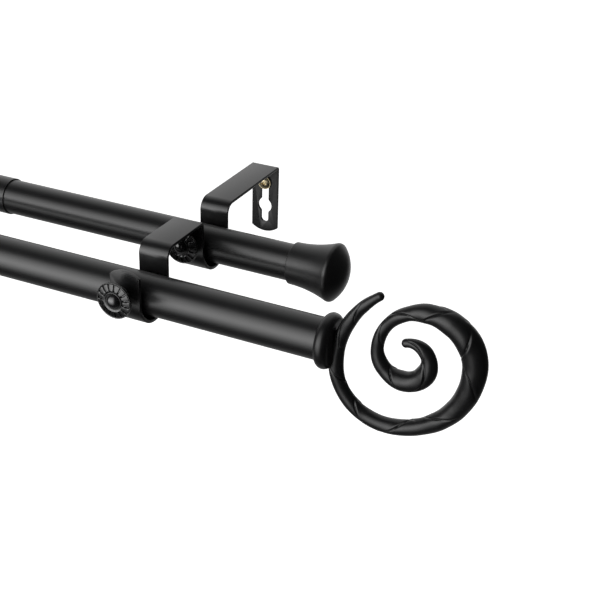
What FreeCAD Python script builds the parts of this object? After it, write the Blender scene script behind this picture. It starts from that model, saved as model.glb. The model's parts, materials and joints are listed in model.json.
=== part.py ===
import FreeCAD, Part
import Sketcher
import math
import os
from FreeCAD import Placement, Rotation, Vector

# Double curtain pole: two telescopic tubes side by side on two folded strap brackets,
# the front one with scroll finials and the back one with flared end caps.
# Millimetres. X runs along the poles, +Y into the wall, +Z up.
# The origin is on the wall, midway between the two wall screws and at their height.

# Driving sizes, one cell each
SIZES = {
    # the set on the wall
    "bracket_spacing": 564.0,
    "back_reach": 90.0,
    "knob_room": 25.94,
    "front_drop": 12.5,
    "back_drop": 10.0,
    "front_overhang": 119.1,
    "back_overhang": 85.0,
    # tubes
    "pole_diameter": 25.4,
    "tube_wall": 0.7,
    "slide_gap": 0.1,
    "front_outer_length": 640.0,
    "front_inner_length": 640.0,
    "back_outer_length": 497.0,
    "back_inner_room": 44.0,
    # bracket strap
    "strap_width": 20.0,
    "strap_thick": 2.0,
    "back_arm_rise": 13.3,
    "front_arm_rise": 13.0,
    "plate_fall": 37.4,
    "wall_fold": 0.4,
    "arm_bend": 6.0,
    "lip_fold": 0.6,
    "leg_gap": 0.5,
    "front_lip_gap": 3.8,
    "back_lip_gap": 4.2,
    "front_cup_gap": 1.5,
    "back_cup_gap": 1.0,
    "lip_rise": 22.0,
    "end_round": 16.4,
    # keyhole and wall screw
    "keyhole_fall": 17.5,
    "keyhole_diameter": 10.6,
    "keyhole_round": 1.5,
    "slot_width": 5.8,
    "slot_fall": 27.4,
    "hang_gap": 0.3,
    "head_gap": 0.1,
    "neck_diameter": 4.1,
    "neck_reach": 0.5,
    "screw_thread_diameter": 4.5,
    "head_diameter": 9.4,
    "head_rise": 2.8,
    "screw_length": 16.0,
    "point_length": 4.0,
    "recess_width": 1.2,
    "recess_span": 5.0,
    "recess_depth": 1.6,
    # thumbscrews
    "front_clamp_rise": 8.0,
    "back_clamp_rise": 8.4,
    "stud_diameter": 5.0,
    "stud_free": 10.5,
    "stud_bite": 6.0,
    "tip_diameter": 2.4,
    "tip_length": 1.3,
    "tip_gap": 0.3,
    "thread_gap": 0.08,
    "knob_diameter": 23.0,
    "knob_thick": 2.6,
    "knob_round": 0.8,
    "hub_diameter": 10.0,
    "hub_length": 6.9,
    "boss_diameter": 11.6,
    "boss_rise": 0.5,
    "dome_diameter": 9.4,
    "dome_rise": 2.6,
    "flute_inner": 6.3,
    "flute_outer": 10.5,
    "flute_width": 0.9,
    "flute_depth": 0.8,
    # end cap
    "cap_mouth_diameter": 27.2,
    "cap_flare": 27.0,
    "cap_spread": 5.0,
    "cap_rim_round": 2.8,
    "cap_crown_radius": 26.2,
    "cap_grip": 20.0,
    "cap_mouth_round": 0.6,
    "cap_gap": 0.05,
    # finial
    "bead_diameter": 33.0,
    "bead_width": 8.2,
    "scroll_seat": 9.1,
    "scroll_drop": 12.7,
    "joint_stud_diameter": 6.0,
    "joint_stud_length": 26.0,
    "joint_stud_bite": 8.0,
    "joint_gap": 0.05,
    "plug_length": 25.0,
    "plug_gap": 0.05,
}

# Number of pads on a knob's face
PAD_COUNT = 15

# The scroll's centre line, as (radius, turn in degrees) of tangent arcs.
# Both runs start where the arm touches the bead, one upwards and one downwards.
OUTER_TAIL = [(61.1, 52.0)]
INNER_CURL = [(32.3, 97.0), (50.3, 82.6), (27.1, 85.3), (29.0, 94.2), (16.5, 85.0), (14.3, 98.8)]
INNER_CURL += [(10.4, 108.0)]

# Half thickness of the scroll's arm at even steps from its inner tip to its outer tip
ARM_HALF_THICKNESS = [2.6, 4.15, 6.0, 5.85, 4.45, 3.65, 3.5, 4.05, 5.55, 6.8, 7.3, 7.05, 6.6]
ARM_HALF_THICKNESS += [6.15, 5.6, 4.9, 4.75, 4.6, 4.4, 4.15, 4.45, 4.1, 4.05, 3.45, 2.6]

# Sections of the scroll's arm are lofted about this far apart, or turned by this many degrees
SECTION_STEP = 8.5
SECTION_TURN = 36.0


class Size:
    """A length that keeps the expression it was worked out with."""

    def __init__(self, value, text):
        self.value = value
        self.text = text

    @staticmethod
    def of(other):
        return other if isinstance(other, Size) else Size(float(other), repr(float(other)))

    def join(self, other, sign, value):
        return Size(value, "(%s %s %s)" % (self.text, sign, other.text))

    def __add__(self, other):
        other = Size.of(other)
        return self.join(other, "+", self.value + other.value)

    def __sub__(self, other):
        other = Size.of(other)
        return self.join(other, "-", self.value - other.value)

    def __mul__(self, other):
        other = Size.of(other)
        return self.join(other, "*", self.value * other.value)

    def __truediv__(self, other):
        other = Size.of(other)
        return self.join(other, "/", self.value / other.value)

    def __neg__(self):
        return Size(-self.value, "(0 - %s)" % self.text)

    def root(self):
        return Size(math.sqrt(self.value), "sqrt(%s)" % self.text)


doc = FreeCAD.newDocument("double_curtain_pole")
sheet = doc.addObject("Spreadsheet::Sheet", "sizes")
for row, (alias, number) in enumerate(SIZES.items(), start=1):
    sheet.set("A%d" % row, alias)
    sheet.set("B%d" % row, str(number))
    sheet.setAlias("B%d" % row, alias)
doc.recompute()

S = {alias: Size(number, "sizes." + alias) for alias, number in SIZES.items()}
ZERO = Size(0.0, "0")
ONE = Size(1.0, "1")
kept = []


def bind(target, prop, size):
    """Set a property now and tie it to the sheet."""
    target.setExpression(prop, size.text)


def place(target, x=ZERO, y=ZERO, z=ZERO, half_turn=False):
    """Put a piece in the set, turned end for end about Z where asked."""
    angle = 180.0 if half_turn else 0.0
    target.Placement = Placement(Vector(x.value, y.value, z.value), Rotation(Vector(0, 0, 1), angle))
    bind(target, "Placement.Base.x", x)
    bind(target, "Placement.Base.y", y)
    bind(target, "Placement.Base.z", z)


def keep(piece, label):
    """Name a finished sub-part."""
    piece.Label = label
    kept.append(piece)
    return piece


def newBody(label):
    body = doc.addObject("PartDesign::Body", label)
    return body


def origin(body, role):
    return [item for item in body.Origin.OriginFeatures if item.Role == role][0]


def newSketch(body, role, name, offset=ZERO):
    """A sketch on one of the body's origin planes, moved along the plane's normal."""
    sketch = body.newObject("Sketcher::SketchObject", body.Name + "_" + name)
    sketch.AttachmentSupport = [(origin(body, role), "")]
    sketch.MapMode = "FlatFace"
    sketch.AttachmentOffset = Placement(Vector(0, 0, offset.value), Rotation())
    bind(sketch, "AttachmentOffset.Base.z", offset)
    return sketch


def dimension(sketch, kind, where, size):
    index = sketch.addConstraint(Sketcher.Constraint(kind, *where, size.value))
    sketch.setExpression("Constraints[%d]" % index, size.text)


def pin(sketch, geometry, point, x, y):
    """Hold a point of the sketch at a place given by two sizes."""
    dimension(sketch, "DistanceX", (-1, 1, geometry, point), x)
    dimension(sketch, "DistanceY", (-1, 1, geometry, point), y)


def circle(sketch, x, y, radius):
    ring = Part.Circle(Vector(x.value, y.value, 0), Vector(0, 0, 1), radius.value)
    index = sketch.addGeometry(ring, False)
    dimension(sketch, "Radius", (index,), radius)
    pin(sketch, index, 3, x, y)
    return index


def outline(sketch, corners, edges):
    """A closed outline. edges[i] runs from corner i to the next one: None for a
    straight edge, or (radius, centre x, centre y) for an arc of under half a turn."""
    count = len(corners)
    spots = [Vector(x.value, y.value, 0) for x, y in corners]
    ends = []
    for i, edge in enumerate(edges):
        start, finish = spots[i], spots[(i + 1) % count]
        if edge is None:
            index = sketch.addGeometry(Part.LineSegment(start, finish), False)
            ends.append((index, 1, 2))
            continue
        radius, x, y = edge
        centre = Vector(x.value, y.value, 0)
        first = math.atan2(start.y - centre.y, start.x - centre.x)
        last = math.atan2(finish.y - centre.y, finish.x - centre.x)
        forward = (last - first) % (2 * math.pi) < math.pi
        low, high = (first, last) if forward else (last, first)
        if high < low:
            high += 2 * math.pi
        ring = Part.Circle(centre, Vector(0, 0, 1), radius.value)
        index = sketch.addGeometry(Part.ArcOfCircle(ring, low, high), False)
        ends.append((index, 1, 2) if forward else (index, 2, 1))
    for i, (x, y) in enumerate(corners):
        before, after = ends[i - 1], ends[i]
        sketch.addConstraint(Sketcher.Constraint("Coincident", before[0], before[2], after[0], after[1]))
        pin(sketch, after[0], after[1], x, y)
    for edge, (index, _, _) in zip(edges, ends):
        if edge is not None:
            dimension(sketch, "Radius", (index,), edge[0])


def pad(body, sketch, length, symmetric=False):
    feature = body.newObject("PartDesign::Pad", sketch.Name + "_pad")
    feature.Profile = sketch
    feature.SideType = "Symmetric" if symmetric else "One side"
    bind(feature, "Length", length)
    sketch.Visibility = False
    return feature


def pocket(body, sketch, length):
    """Cut as far to both sides of the sketch as half the length."""
    feature = body.newObject("PartDesign::Pocket", sketch.Name + "_cut")
    feature.Profile = sketch
    feature.SideType = "Symmetric"
    bind(feature, "Length", length)
    sketch.Visibility = False
    return feature


def revolve(body, sketch, axis):
    feature = body.newObject("PartDesign::Revolution", sketch.Name + "_turned")
    feature.Profile = sketch
    feature.ReferenceAxis = (sketch, [axis])
    feature.Angle = 360.0
    sketch.Visibility = False
    return feature


# Sizes that more than one piece uses
outer_radius = S["pole_diameter"] / 2
inner_radius = outer_radius - S["tube_wall"] - S["slide_gap"]
half_spacing = S["bracket_spacing"] / 2
front_end = half_spacing + S["front_overhang"]
back_end = half_spacing + S["back_overhang"]
# the front pole's legs stand clear of the back thumbscrews
back_tip_edge = S["back_clamp_rise"] - S["tip_diameter"] / 2
back_tip_depth = (outer_radius * outer_radius - back_tip_edge * back_tip_edge).root()
back_tip_reach = S["back_reach"] + back_tip_depth + S["tip_gap"]
knob_length = S["hub_length"] + S["knob_thick"] + S["boss_rise"] + S["dome_rise"]
front_leg_reach = back_tip_reach + S["stud_free"] + knob_length + S["knob_room"]
front_reach = front_leg_reach + S["strap_thick"] + S["leg_gap"] + outer_radius
front_axis = (-front_reach, -S["front_drop"])
back_axis = (-S["back_reach"], -S["back_drop"])
# the narrower back tube stops short of the far end cap, with room to close the pole up
back_inner_start = S["back_inner_room"] - back_end
back_inner_length = back_end - back_inner_start


def tube(label, radius, length, x, axis):
    """A plain tube lying along X, from x towards +X."""
    body = newBody(label)
    sketch = newSketch(body, "YZ_Plane", "ring")
    circle(sketch, ZERO, ZERO, radius)
    circle(sketch, ZERO, ZERO, radius - S["tube_wall"])
    pad(body, sketch, length)
    place(body, x, axis[0], axis[1])
    return keep(body, label)


# Telescopic poles: each is a wider tube over a narrower one, end to end
front_outer_start = front_end - S["front_outer_length"]
tube("front_outer_tube", outer_radius, S["front_outer_length"], front_outer_start, front_axis)
tube("front_inner_tube", inner_radius, S["front_inner_length"], -front_end, front_axis)
tube("back_inner_tube", inner_radius, back_inner_length, back_inner_start, back_axis)
tube("back_outer_tube", outer_radius, S["back_outer_length"], -back_end, back_axis)


def strapFace(depth):
    """One face of the folded strap in its side view, from the wall plate's foot to the
    front lip. Depth 0 is the face that bears on the wall and depth strap_thick the other.
    Returns the corners and the edges between them."""
    steps = []

    def corner(y, z, edge=None):
        steps.append(((y, z), edge))

    def fold(y, z, radius):
        """From a rising run at y to a forward run at z."""
        corner(y, z - radius, (radius, y - radius, z - radius))
        corner(y - radius, z)

    def bend(y, z, radius):
        """From a forward run at z to a falling run at y."""
        corner(y + radius, z, (radius, y + radius, z - radius))
        corner(y, z - radius)

    def cup(leg, lip, z):
        """From a falling run at leg, round under the pole, to a rising run at lip."""
        radius = (leg - lip) / 2
        middle = (leg + lip) / 2
        corner(leg, z + radius, (radius, middle, z + radius))
        corner(middle, z, (radius, middle, z + radius))
        corner(lip, z + radius)

    thick = S["strap_thick"]
    corner(-depth, -S["plate_fall"])
    fold(-depth, S["back_arm_rise"] - depth, S["wall_fold"] + thick - depth)
    for axis, arm, lip_gap, cup_gap in (
        (back_axis, S["back_arm_rise"], S["back_lip_gap"], S["back_cup_gap"]),
        (front_axis, S["front_arm_rise"], S["front_lip_gap"], S["front_cup_gap"]),
    ):
        leg = axis[0] + outer_radius + S["leg_gap"] + depth
        lip = axis[0] - outer_radius - lip_gap - depth
        bend(leg, arm - depth, S["arm_bend"] + thick - depth)
        cup(leg, lip, axis[1] - outer_radius - cup_gap - depth)
        if axis is back_axis:
            fold(lip, S["front_arm_rise"] - depth, S["lip_fold"] + thick - depth)
        else:
            corner(lip, axis[1] + S["lip_rise"])
    corners = [step[0] for step in steps]
    edges = [step[1] for step in steps]
    return corners, edges


def strapEndCut(body, name, axis_offset, tip, sign):
    """Round one end of the strap: cut what lies past an arc through the end's middle.
    sign is +1 for an end that points up and -1 for one that points down."""
    sketch = newSketch(body, "XZ_Plane", name, axis_offset)
    half = S["strap_width"] / 2
    radius = S["end_round"]
    beyond = S["strap_width"]
    rise = (radius * radius - half * half).root()
    centre = tip - radius * sign
    shoulder = centre + rise * sign
    past = half + S["strap_thick"]
    corners = [
        (-half, shoulder),
        (ZERO, tip),
        (half, shoulder),
        (past, shoulder),
        (past, tip + beyond * sign),
        (-past, tip + beyond * sign),
        (-past, shoulder),
    ]
    arc = (radius, ZERO, centre)
    outline(sketch, corners, [arc, arc, None, None, None, None, None])
    pocket(body, sketch, S["strap_thick"] * 4)


def bracket(label, x):
    """One strap, folded into a wall plate, two arms and two cups."""
    body = newBody(label)
    side = newSketch(body, "YZ_Plane", "side")
    near_corners, near_edges = strapFace(ZERO)
    far_corners, far_edges = strapFace(S["strap_thick"])
    corners = near_corners + far_corners[::-1]
    edges = near_edges + far_edges[:-1][::-1] + [None]
    outline(side, corners, edges)
    pad(body, side, S["strap_width"], symmetric=True)

    # the plane's normal points away from the wall, so an offset is a distance from the wall
    mid_plate = S["strap_thick"] / 2
    strapEndCut(body, "plate_end", mid_plate, -S["plate_fall"], -1)
    front_lip = front_reach + outer_radius + S["front_lip_gap"] + mid_plate
    back_lip = S["back_reach"] + outer_radius + S["back_lip_gap"] + mid_plate
    strapEndCut(body, "lip_end", front_lip, S["lip_rise"] - S["front_drop"], 1)

    # keyhole: a round opening for the screw's head and a slot above and below it, blended in
    through = S["strap_thick"] * 2
    opening = newSketch(body, "XZ_Plane", "keyhole", mid_plate)
    half, wide, blend = S["slot_width"] / 2, S["keyhole_diameter"] / 2, S["keyhole_round"]
    middle = -S["keyhole_fall"]
    top = -(half - S["neck_diameter"] / 2 - S["hang_gap"])
    low = -S["slot_fall"]
    side = half + blend
    climb = ((wide + blend) * (wide + blend) - side * side).root()
    share = wide / (wide + blend)
    right = [
        (half, low),
        (half, middle - climb),
        (side * share, middle - climb * share),
        (side * share, middle + climb * share),
        (half, middle + climb),
        (half, top),
    ]
    left = [(-x, z) for x, z in reversed(right)]
    corners = right + [(ZERO, top + half)] + left + [(ZERO, low - half)]
    above, below = (half, ZERO, top), (half, ZERO, low)
    round_side = (wide, ZERO, middle)
    right_edges = [None, (blend, side, middle - climb), round_side, (blend, side, middle + climb), None]
    left_edges = [None, (blend, -side, middle + climb), round_side, (blend, -side, middle - climb), None]
    outline(opening, corners, right_edges + [above, above] + left_edges + [below, below])
    pocket(body, opening, through)

    # threaded holes for the two thumbscrews
    for name, lip, height in (
        ("front_clamp", front_lip, S["front_clamp_rise"] - S["front_drop"]),
        ("back_clamp", back_lip, S["back_clamp_rise"] - S["back_drop"]),
    ):
        hole = newSketch(body, "XZ_Plane", name, lip)
        circle(hole, ZERO, height, S["stud_diameter"] / 2 + S["thread_gap"])
        pocket(body, hole, through)
    place(body, x)
    return keep(body, label)


bracket("bracket_right", half_spacing)
bracket("bracket_left", -half_spacing)


def wallScrew(label, x):
    """Pan-head screw that the wall plate hangs on. It is turned about Y, head to the room."""
    body = newBody(label)
    sketch = newSketch(body, "XY_Plane", "profile")
    under_head = -(S["strap_thick"] + S["head_gap"])
    head, neck, thread = S["head_diameter"] / 2, S["neck_diameter"] / 2, S["screw_thread_diameter"] / 2
    crown = head * 0.55
    shoulder = S["head_rise"] * 0.45
    face = under_head - S["head_rise"]
    corners = [
        (ZERO, face),
        (crown, face),
        (head, face + shoulder),
        (head, under_head),
        (neck, under_head),
        (neck, S["neck_reach"]),
        (thread, S["neck_reach"]),
        (thread, S["screw_length"] - S["point_length"]),
        (ZERO, S["screw_length"]),
    ]
    outline(sketch, corners, [None] * len(corners))
    revolve(body, sketch, "V_Axis")

    # cross recess
    half_width, half_span = S["recess_width"] / 2, S["recess_span"] / 2
    for name, wide, tall in (("recess_bar", half_span, half_width), ("recess_post", half_width, half_span)):
        recess = newSketch(body, "XZ_Plane", name, -face)
        outline(recess, [(wide, tall), (-wide, tall), (-wide, -tall), (wide, -tall)], [None] * 4)
        pocket(body, recess, S["recess_depth"] * 2)
    place(body, x)
    return keep(body, label)


wallScrew("wall_screw_right", half_spacing)
wallScrew("wall_screw_left", -half_spacing)


def clampStud(label, x, y, z):
    """Threaded rod of a thumbscrew, its point at the local origin and its body towards -Y."""
    body = newBody(label)
    sketch = newSketch(body, "XY_Plane", "profile")
    shank, tip = S["stud_diameter"] / 2, S["tip_diameter"] / 2
    corners = [
        (ZERO, ZERO),
        (tip, ZERO),
        (shank, -S["tip_length"]),
        (shank, -(S["stud_free"] + S["stud_bite"])),
        (ZERO, -(S["stud_free"] + S["stud_bite"])),
    ]
    outline(sketch, corners, [None] * len(corners))
    revolve(body, sketch, "V_Axis")
    place(body, x, y, z)
    return keep(body, label)


def clampKnob(label, x, y, z):
    """Rosette knob of a thumbscrew. Its local origin is the stud's point, as for the stud."""
    body = newBody(label)
    sketch = newSketch(body, "XY_Plane", "profile")
    bore = S["stud_diameter"] / 2
    rim, rounding = S["knob_diameter"] / 2, S["knob_round"]
    hub, boss, dome = S["hub_diameter"] / 2, S["boss_diameter"] / 2, S["dome_diameter"] / 2
    mouth = -S["stud_free"]
    bottom = mouth - S["stud_bite"]
    back = mouth - S["hub_length"]
    face = back - S["knob_thick"]
    step = face - S["boss_rise"]
    peak = step - S["dome_rise"]
    # the dome is a cap of a sphere: its radius follows from its width and height
    ball = (dome * dome + S["dome_rise"] * S["dome_rise"]) / (S["dome_rise"] * 2)
    corners = [
        (ZERO, bottom),
        (bore, bottom),
        (bore, mouth),
        (hub, mouth),
        (hub, back),
        (rim - rounding, back),
        (rim, back - rounding),
        (rim, face + rounding),
        (rim - rounding, face),
        (boss, face),
        (boss, step),
        (dome, step),
        (ZERO, peak),
    ]
    edges = [None] * len(corners)
    edges[5] = (rounding, rim - rounding, back - rounding)
    edges[7] = (rounding, rim - rounding, face + rounding)
    edges[11] = (ball, ZERO, peak + ball)
    outline(sketch, corners, edges)
    revolve(body, sketch, "V_Axis")

    # grooves between the pads, repeated round the knob
    groove = newSketch(body, "XZ_Plane", "groove", -face)
    half = S["flute_width"] / 2
    near, far = S["flute_inner"], S["flute_outer"]
    outline(groove, [(near, -half), (far, -half), (far, half), (near, half)], [None] * 4)
    cut = pocket(body, groove, S["flute_depth"] * 2)
    ring = body.newObject("PartDesign::PolarPattern", label + "_grooves")
    ring.Originals = [cut]
    ring.Axis = (origin(body, "Y_Axis"), [""])
    ring.Angle = 360.0
    ring.Occurrences = PAD_COUNT
    body.Tip = ring
    place(body, x, y, z)
    return keep(body, label)


def thumbscrew(name, x, axis, tube_radius, rise):
    """Stud and knob, with the stud's point just clear of the tube that it bears on."""
    low_edge = rise - S["tip_diameter"] / 2
    surface = (tube_radius * tube_radius - low_edge * low_edge).root()
    y = axis[0] - surface - S["tip_gap"]
    z = axis[1] + rise
    clampStud("clamp_stud_" + name, x, y, z)
    clampKnob("clamp_knob_" + name, x, y, z)


thumbscrew("front_right", half_spacing, front_axis, outer_radius, S["front_clamp_rise"])
thumbscrew("front_left", -half_spacing, front_axis, inner_radius, S["front_clamp_rise"])
thumbscrew("back_right", half_spacing, back_axis, inner_radius, S["back_clamp_rise"])
thumbscrew("back_left", -half_spacing, back_axis, outer_radius, S["back_clamp_rise"])


def endCap(label, tube_radius, x, half_turn):
    """Flared cap that slips over a tube's end. Its local origin is where the tube ends."""
    body = newBody(label)
    sketch = newSketch(body, "XY_Plane", "profile")
    mouth = -S["cap_grip"]
    bore = tube_radius + S["cap_gap"]
    sleeve, spread = S["cap_mouth_diameter"] / 2, S["cap_spread"]
    edge, rounding, crown = S["cap_mouth_round"], S["cap_rim_round"], S["cap_crown_radius"]
    # the flare is an arc that leaves the mouth parallel to the tube
    flare = (S["cap_flare"] * S["cap_flare"] + spread * spread) / (spread * 2)
    lip = mouth + S["cap_flare"]
    # the rim's arc goes on from the flare and runs into the crown, a cap of a sphere
    rim_x = lip + rounding * S["cap_flare"] / flare
    rim_y = sleeve + spread - rounding * (ONE - spread / flare)
    crown_x = rim_x - ((crown - rounding) * (crown - rounding) - rim_y * rim_y).root()
    share = crown / (crown - rounding)
    rise = (flare * flare - edge * edge).root()
    corners = [
        (mouth, bore),
        (mouth, sleeve + flare - rise - edge),
        (mouth + edge, sleeve + flare - rise),
        (lip, sleeve + spread),
        (crown_x + (rim_x - crown_x) * share, rim_y * share),
        (crown_x + crown, ZERO),
        (ZERO, ZERO),
        (ZERO, bore),
    ]
    edges = [
        None,
        (edge, mouth + edge, sleeve + flare - rise - edge),
        (flare, mouth, sleeve + flare),
        (rounding, rim_x, rim_y),
        (crown, crown_x, ZERO),
        None,
        None,
        None,
    ]
    outline(sketch, corners, edges)
    revolve(body, sketch, "H_Axis")
    place(body, x, back_axis[0], back_axis[1], half_turn)
    return keep(body, label)


endCap("end_cap_right", inner_radius, back_end, False)
endCap("end_cap_left", outer_radius, -back_end, True)


def arcRun(start, heading, arcs, turn):
    """Points along tangent arcs: (distance, place, heading). turn is +1 to the left."""
    stations = [(0.0, start, heading)]
    for radius, degrees in arcs:
        distance, spot, course = stations[-1]
        centre = spot + Vector(-math.sin(course), 0, math.cos(course)) * (radius * turn)
        sweep = math.radians(degrees)
        parts = max(round(radius * sweep / SECTION_STEP), math.ceil(degrees / SECTION_TURN))
        for part in range(1, parts + 1):
            angle = turn * sweep * part / parts
            now = course + angle
            arm = Vector(-math.sin(now), 0, math.cos(now)) * (radius * turn)
            stations.append((distance + radius * abs(angle), centre - arm, now))
    return stations


def armThickness(share):
    """Half thickness of the arm at a share of its length, easing between the stations."""
    spot = share * (len(ARM_HALF_THICKNESS) - 1)
    index = min(int(spot), len(ARM_HALF_THICKNESS) - 2)
    step = spot - index
    ease = step * step * (3 - 2 * step)
    return ARM_HALF_THICKNESS[index] * (1 - ease) + ARM_HALF_THICKNESS[index + 1] * ease


def scrollArm():
    """The tapering arm, lofted through round sections along the arcs, with round tips."""
    seat = Vector(SIZES["scroll_seat"], 0, -SIZES["scroll_drop"])
    down = arcRun(seat, -math.pi / 2, INNER_CURL, 1)
    up = arcRun(seat, math.pi / 2, OUTER_TAIL, -1)
    length = down[-1][0] + up[-1][0]
    stations = [(down[-1][0] - far, spot, heading) for far, spot, heading in reversed(down)]
    stations += [(down[-1][0] + far, spot, heading) for far, spot, heading in up[1:]]
    sections = []
    for distance, spot, heading in stations:
        along = Vector(math.cos(heading), 0, math.sin(heading))
        ring = Part.makeCircle(armThickness(distance / length), spot, along)
        sections.append(Part.Wire([ring]))
    arm = Part.makeLoft(sections, True, False)
    tips = [
        Part.makeSphere(ARM_HALF_THICKNESS[0], stations[0][1]),
        Part.makeSphere(ARM_HALF_THICKNESS[-1], stations[-1][1]),
    ]
    return arm.fuse(tips)


def finial(side, x, half_turn):
    """Cast finial: a round bead with the scroll on it. Its local origin is the tube's end."""
    label = "finial_" + side
    bead = newBody(label + "_bead")
    sketch = newSketch(bead, "XY_Plane", "profile")
    curve = S["bead_width"] / 2
    waist = S["bead_diameter"] / 2 - curve
    front = S["bead_width"]
    corners = [(ZERO, ZERO), (ZERO, waist), (curve, waist + curve), (front, waist), (front, ZERO)]
    arc = (curve, curve, waist)
    outline(sketch, corners, [None, arc, arc, None, None])
    revolve(bead, sketch, "H_Axis")

    scroll = doc.addObject("Part::Feature", label + "_scroll")
    scroll.Shape = scrollArm()
    casting = doc.addObject("Part::Fuse", label + "_casting")
    casting.Base = bead
    casting.Tool = scroll
    hole = doc.addObject("Part::Cylinder", label + "_hole")
    hole.Placement = Placement(Vector(0, 0, 0), Rotation(Vector(0, 1, 0), 90))
    bind(hole, "Radius", S["joint_stud_diameter"] / 2)
    bind(hole, "Height", S["joint_stud_bite"])
    piece = doc.addObject("Part::Cut", label)
    piece.Base = casting
    piece.Tool = hole
    place(piece, x, front_axis[0], front_axis[1], half_turn)
    return keep(piece, label)


def finialFixing(side, tube_radius, x, half_turn):
    """Nylon plug in the tube's end and the threaded rod that draws the finial to it."""
    plug = newBody("tube_plug_" + side)
    ring = newSketch(plug, "YZ_Plane", "ring")
    circle(ring, ZERO, ZERO, tube_radius - S["tube_wall"] - S["plug_gap"])
    circle(ring, ZERO, ZERO, S["joint_stud_diameter"] / 2 + S["joint_gap"])
    pad(plug, ring, S["plug_length"])
    turned = -S["plug_length"] if not half_turn else S["plug_length"]
    place(plug, x + turned, front_axis[0], front_axis[1], half_turn)
    keep(plug, "tube_plug_" + side)

    rod = newBody("joint_stud_" + side)
    disc = newSketch(rod, "YZ_Plane", "disc")
    circle(disc, ZERO, ZERO, S["joint_stud_diameter"] / 2)
    pad(rod, disc, S["joint_stud_length"])
    inside = S["joint_stud_length"] - S["joint_stud_bite"]
    turned = -inside if not half_turn else inside
    place(rod, x + turned, front_axis[0], front_axis[1], half_turn)
    keep(rod, "joint_stud_" + side)


finial("right", front_end, False)
finialFixing("right", outer_radius, front_end, False)
finial("left", -front_end, True)
finialFixing("left", inner_radius, -front_end, True)

doc.recompute()

# Check every object before anything is written
for item in doc.Objects:
    if "Invalid" in item.State or "Error" in item.State:
        raise RuntimeError("%s did not build: %s" % (item.Name, item.State))
for piece in kept:
    shape = piece.Shape
    if shape.isNull() or not shape.isValid() or len(shape.Solids) != 1:
        raise RuntimeError("%s is not one valid solid" % piece.Label)

os.makedirs("parts", exist_ok=True)
for piece in kept:
    piece.Shape.exportStep(os.path.join("parts", piece.Label + ".step"))
    print("%-24s %10.1f mm3" % (piece.Label, piece.Shape.Volume))
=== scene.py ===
# Looks of a double curtain pole: telescopic tubes side by side on folded strap brackets,
# scroll finials on the front pole and flared end caps on the back one. Lengths are in metres.
import bpy
import bmesh
import json
import math
from mathutils import Matrix, Vector


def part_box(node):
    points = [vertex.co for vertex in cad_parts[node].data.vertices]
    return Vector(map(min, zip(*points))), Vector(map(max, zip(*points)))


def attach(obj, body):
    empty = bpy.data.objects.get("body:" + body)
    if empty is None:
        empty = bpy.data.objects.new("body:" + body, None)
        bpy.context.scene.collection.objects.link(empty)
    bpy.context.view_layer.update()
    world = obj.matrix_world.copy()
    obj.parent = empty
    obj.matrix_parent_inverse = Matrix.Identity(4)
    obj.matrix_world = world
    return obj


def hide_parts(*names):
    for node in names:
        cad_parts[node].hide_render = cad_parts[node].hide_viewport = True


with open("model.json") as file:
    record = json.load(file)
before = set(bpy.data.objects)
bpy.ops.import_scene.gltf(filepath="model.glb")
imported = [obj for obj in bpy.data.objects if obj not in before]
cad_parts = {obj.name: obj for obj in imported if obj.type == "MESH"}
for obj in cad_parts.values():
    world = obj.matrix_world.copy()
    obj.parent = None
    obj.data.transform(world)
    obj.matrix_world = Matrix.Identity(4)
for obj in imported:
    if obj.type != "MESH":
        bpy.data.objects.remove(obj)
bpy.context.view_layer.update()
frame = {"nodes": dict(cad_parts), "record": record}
mm = 0.001
fullTurn = 2 * math.pi
mergeWithin = 0.001 * mm
record = frame["record"]
bodyOf = {node: body for body, members in record["behaviour"]["bodies"].items() for node in members}
slotOf = {part["node"]: part["material_slot"] for part in record["subparts"]}
mountPlace = {mount["name"]: Vector(mount["pos_m"]) for mount in record["mounts"]}
frontAxis = mountPlace["front_rod"]
backAxis = mountPlace["back_rod"]
sides = ("right", "left")
clampNames = ("front_right", "front_left", "back_right", "back_left")
print("frame loaded,", len(frame["nodes"]), "nodes")


# Finishes: every one is the same skin with its own values

skinInputs = {
    "base": "NodeSocketColor",
    "bloom": "NodeSocketColor",
    "roughness": "NodeSocketFloat",
    "unevenness": "NodeSocketFloat",
    "bloomSize": "NodeSocketFloat",
    "peelSize": "NodeSocketFloat",
}
skinOutputs = {"Color": "NodeSocketColor", "Roughness": "NodeSocketFloat", "Height": "NodeSocketFloat"}
skinLook = {"cloud": {"Detail": 3.0, "Roughness": 0.55}, "cloudMean": 0.5, "peel": {"Detail": 2.0}}


def addNode(tree, kind, settings=None, values=None):
    node = tree.nodes.new(kind)
    for key, value in (settings or {}).items():
        setattr(node, key, value)
    for key, value in (values or {}).items():
        node.inputs[key].default_value = value
    return node


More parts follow.
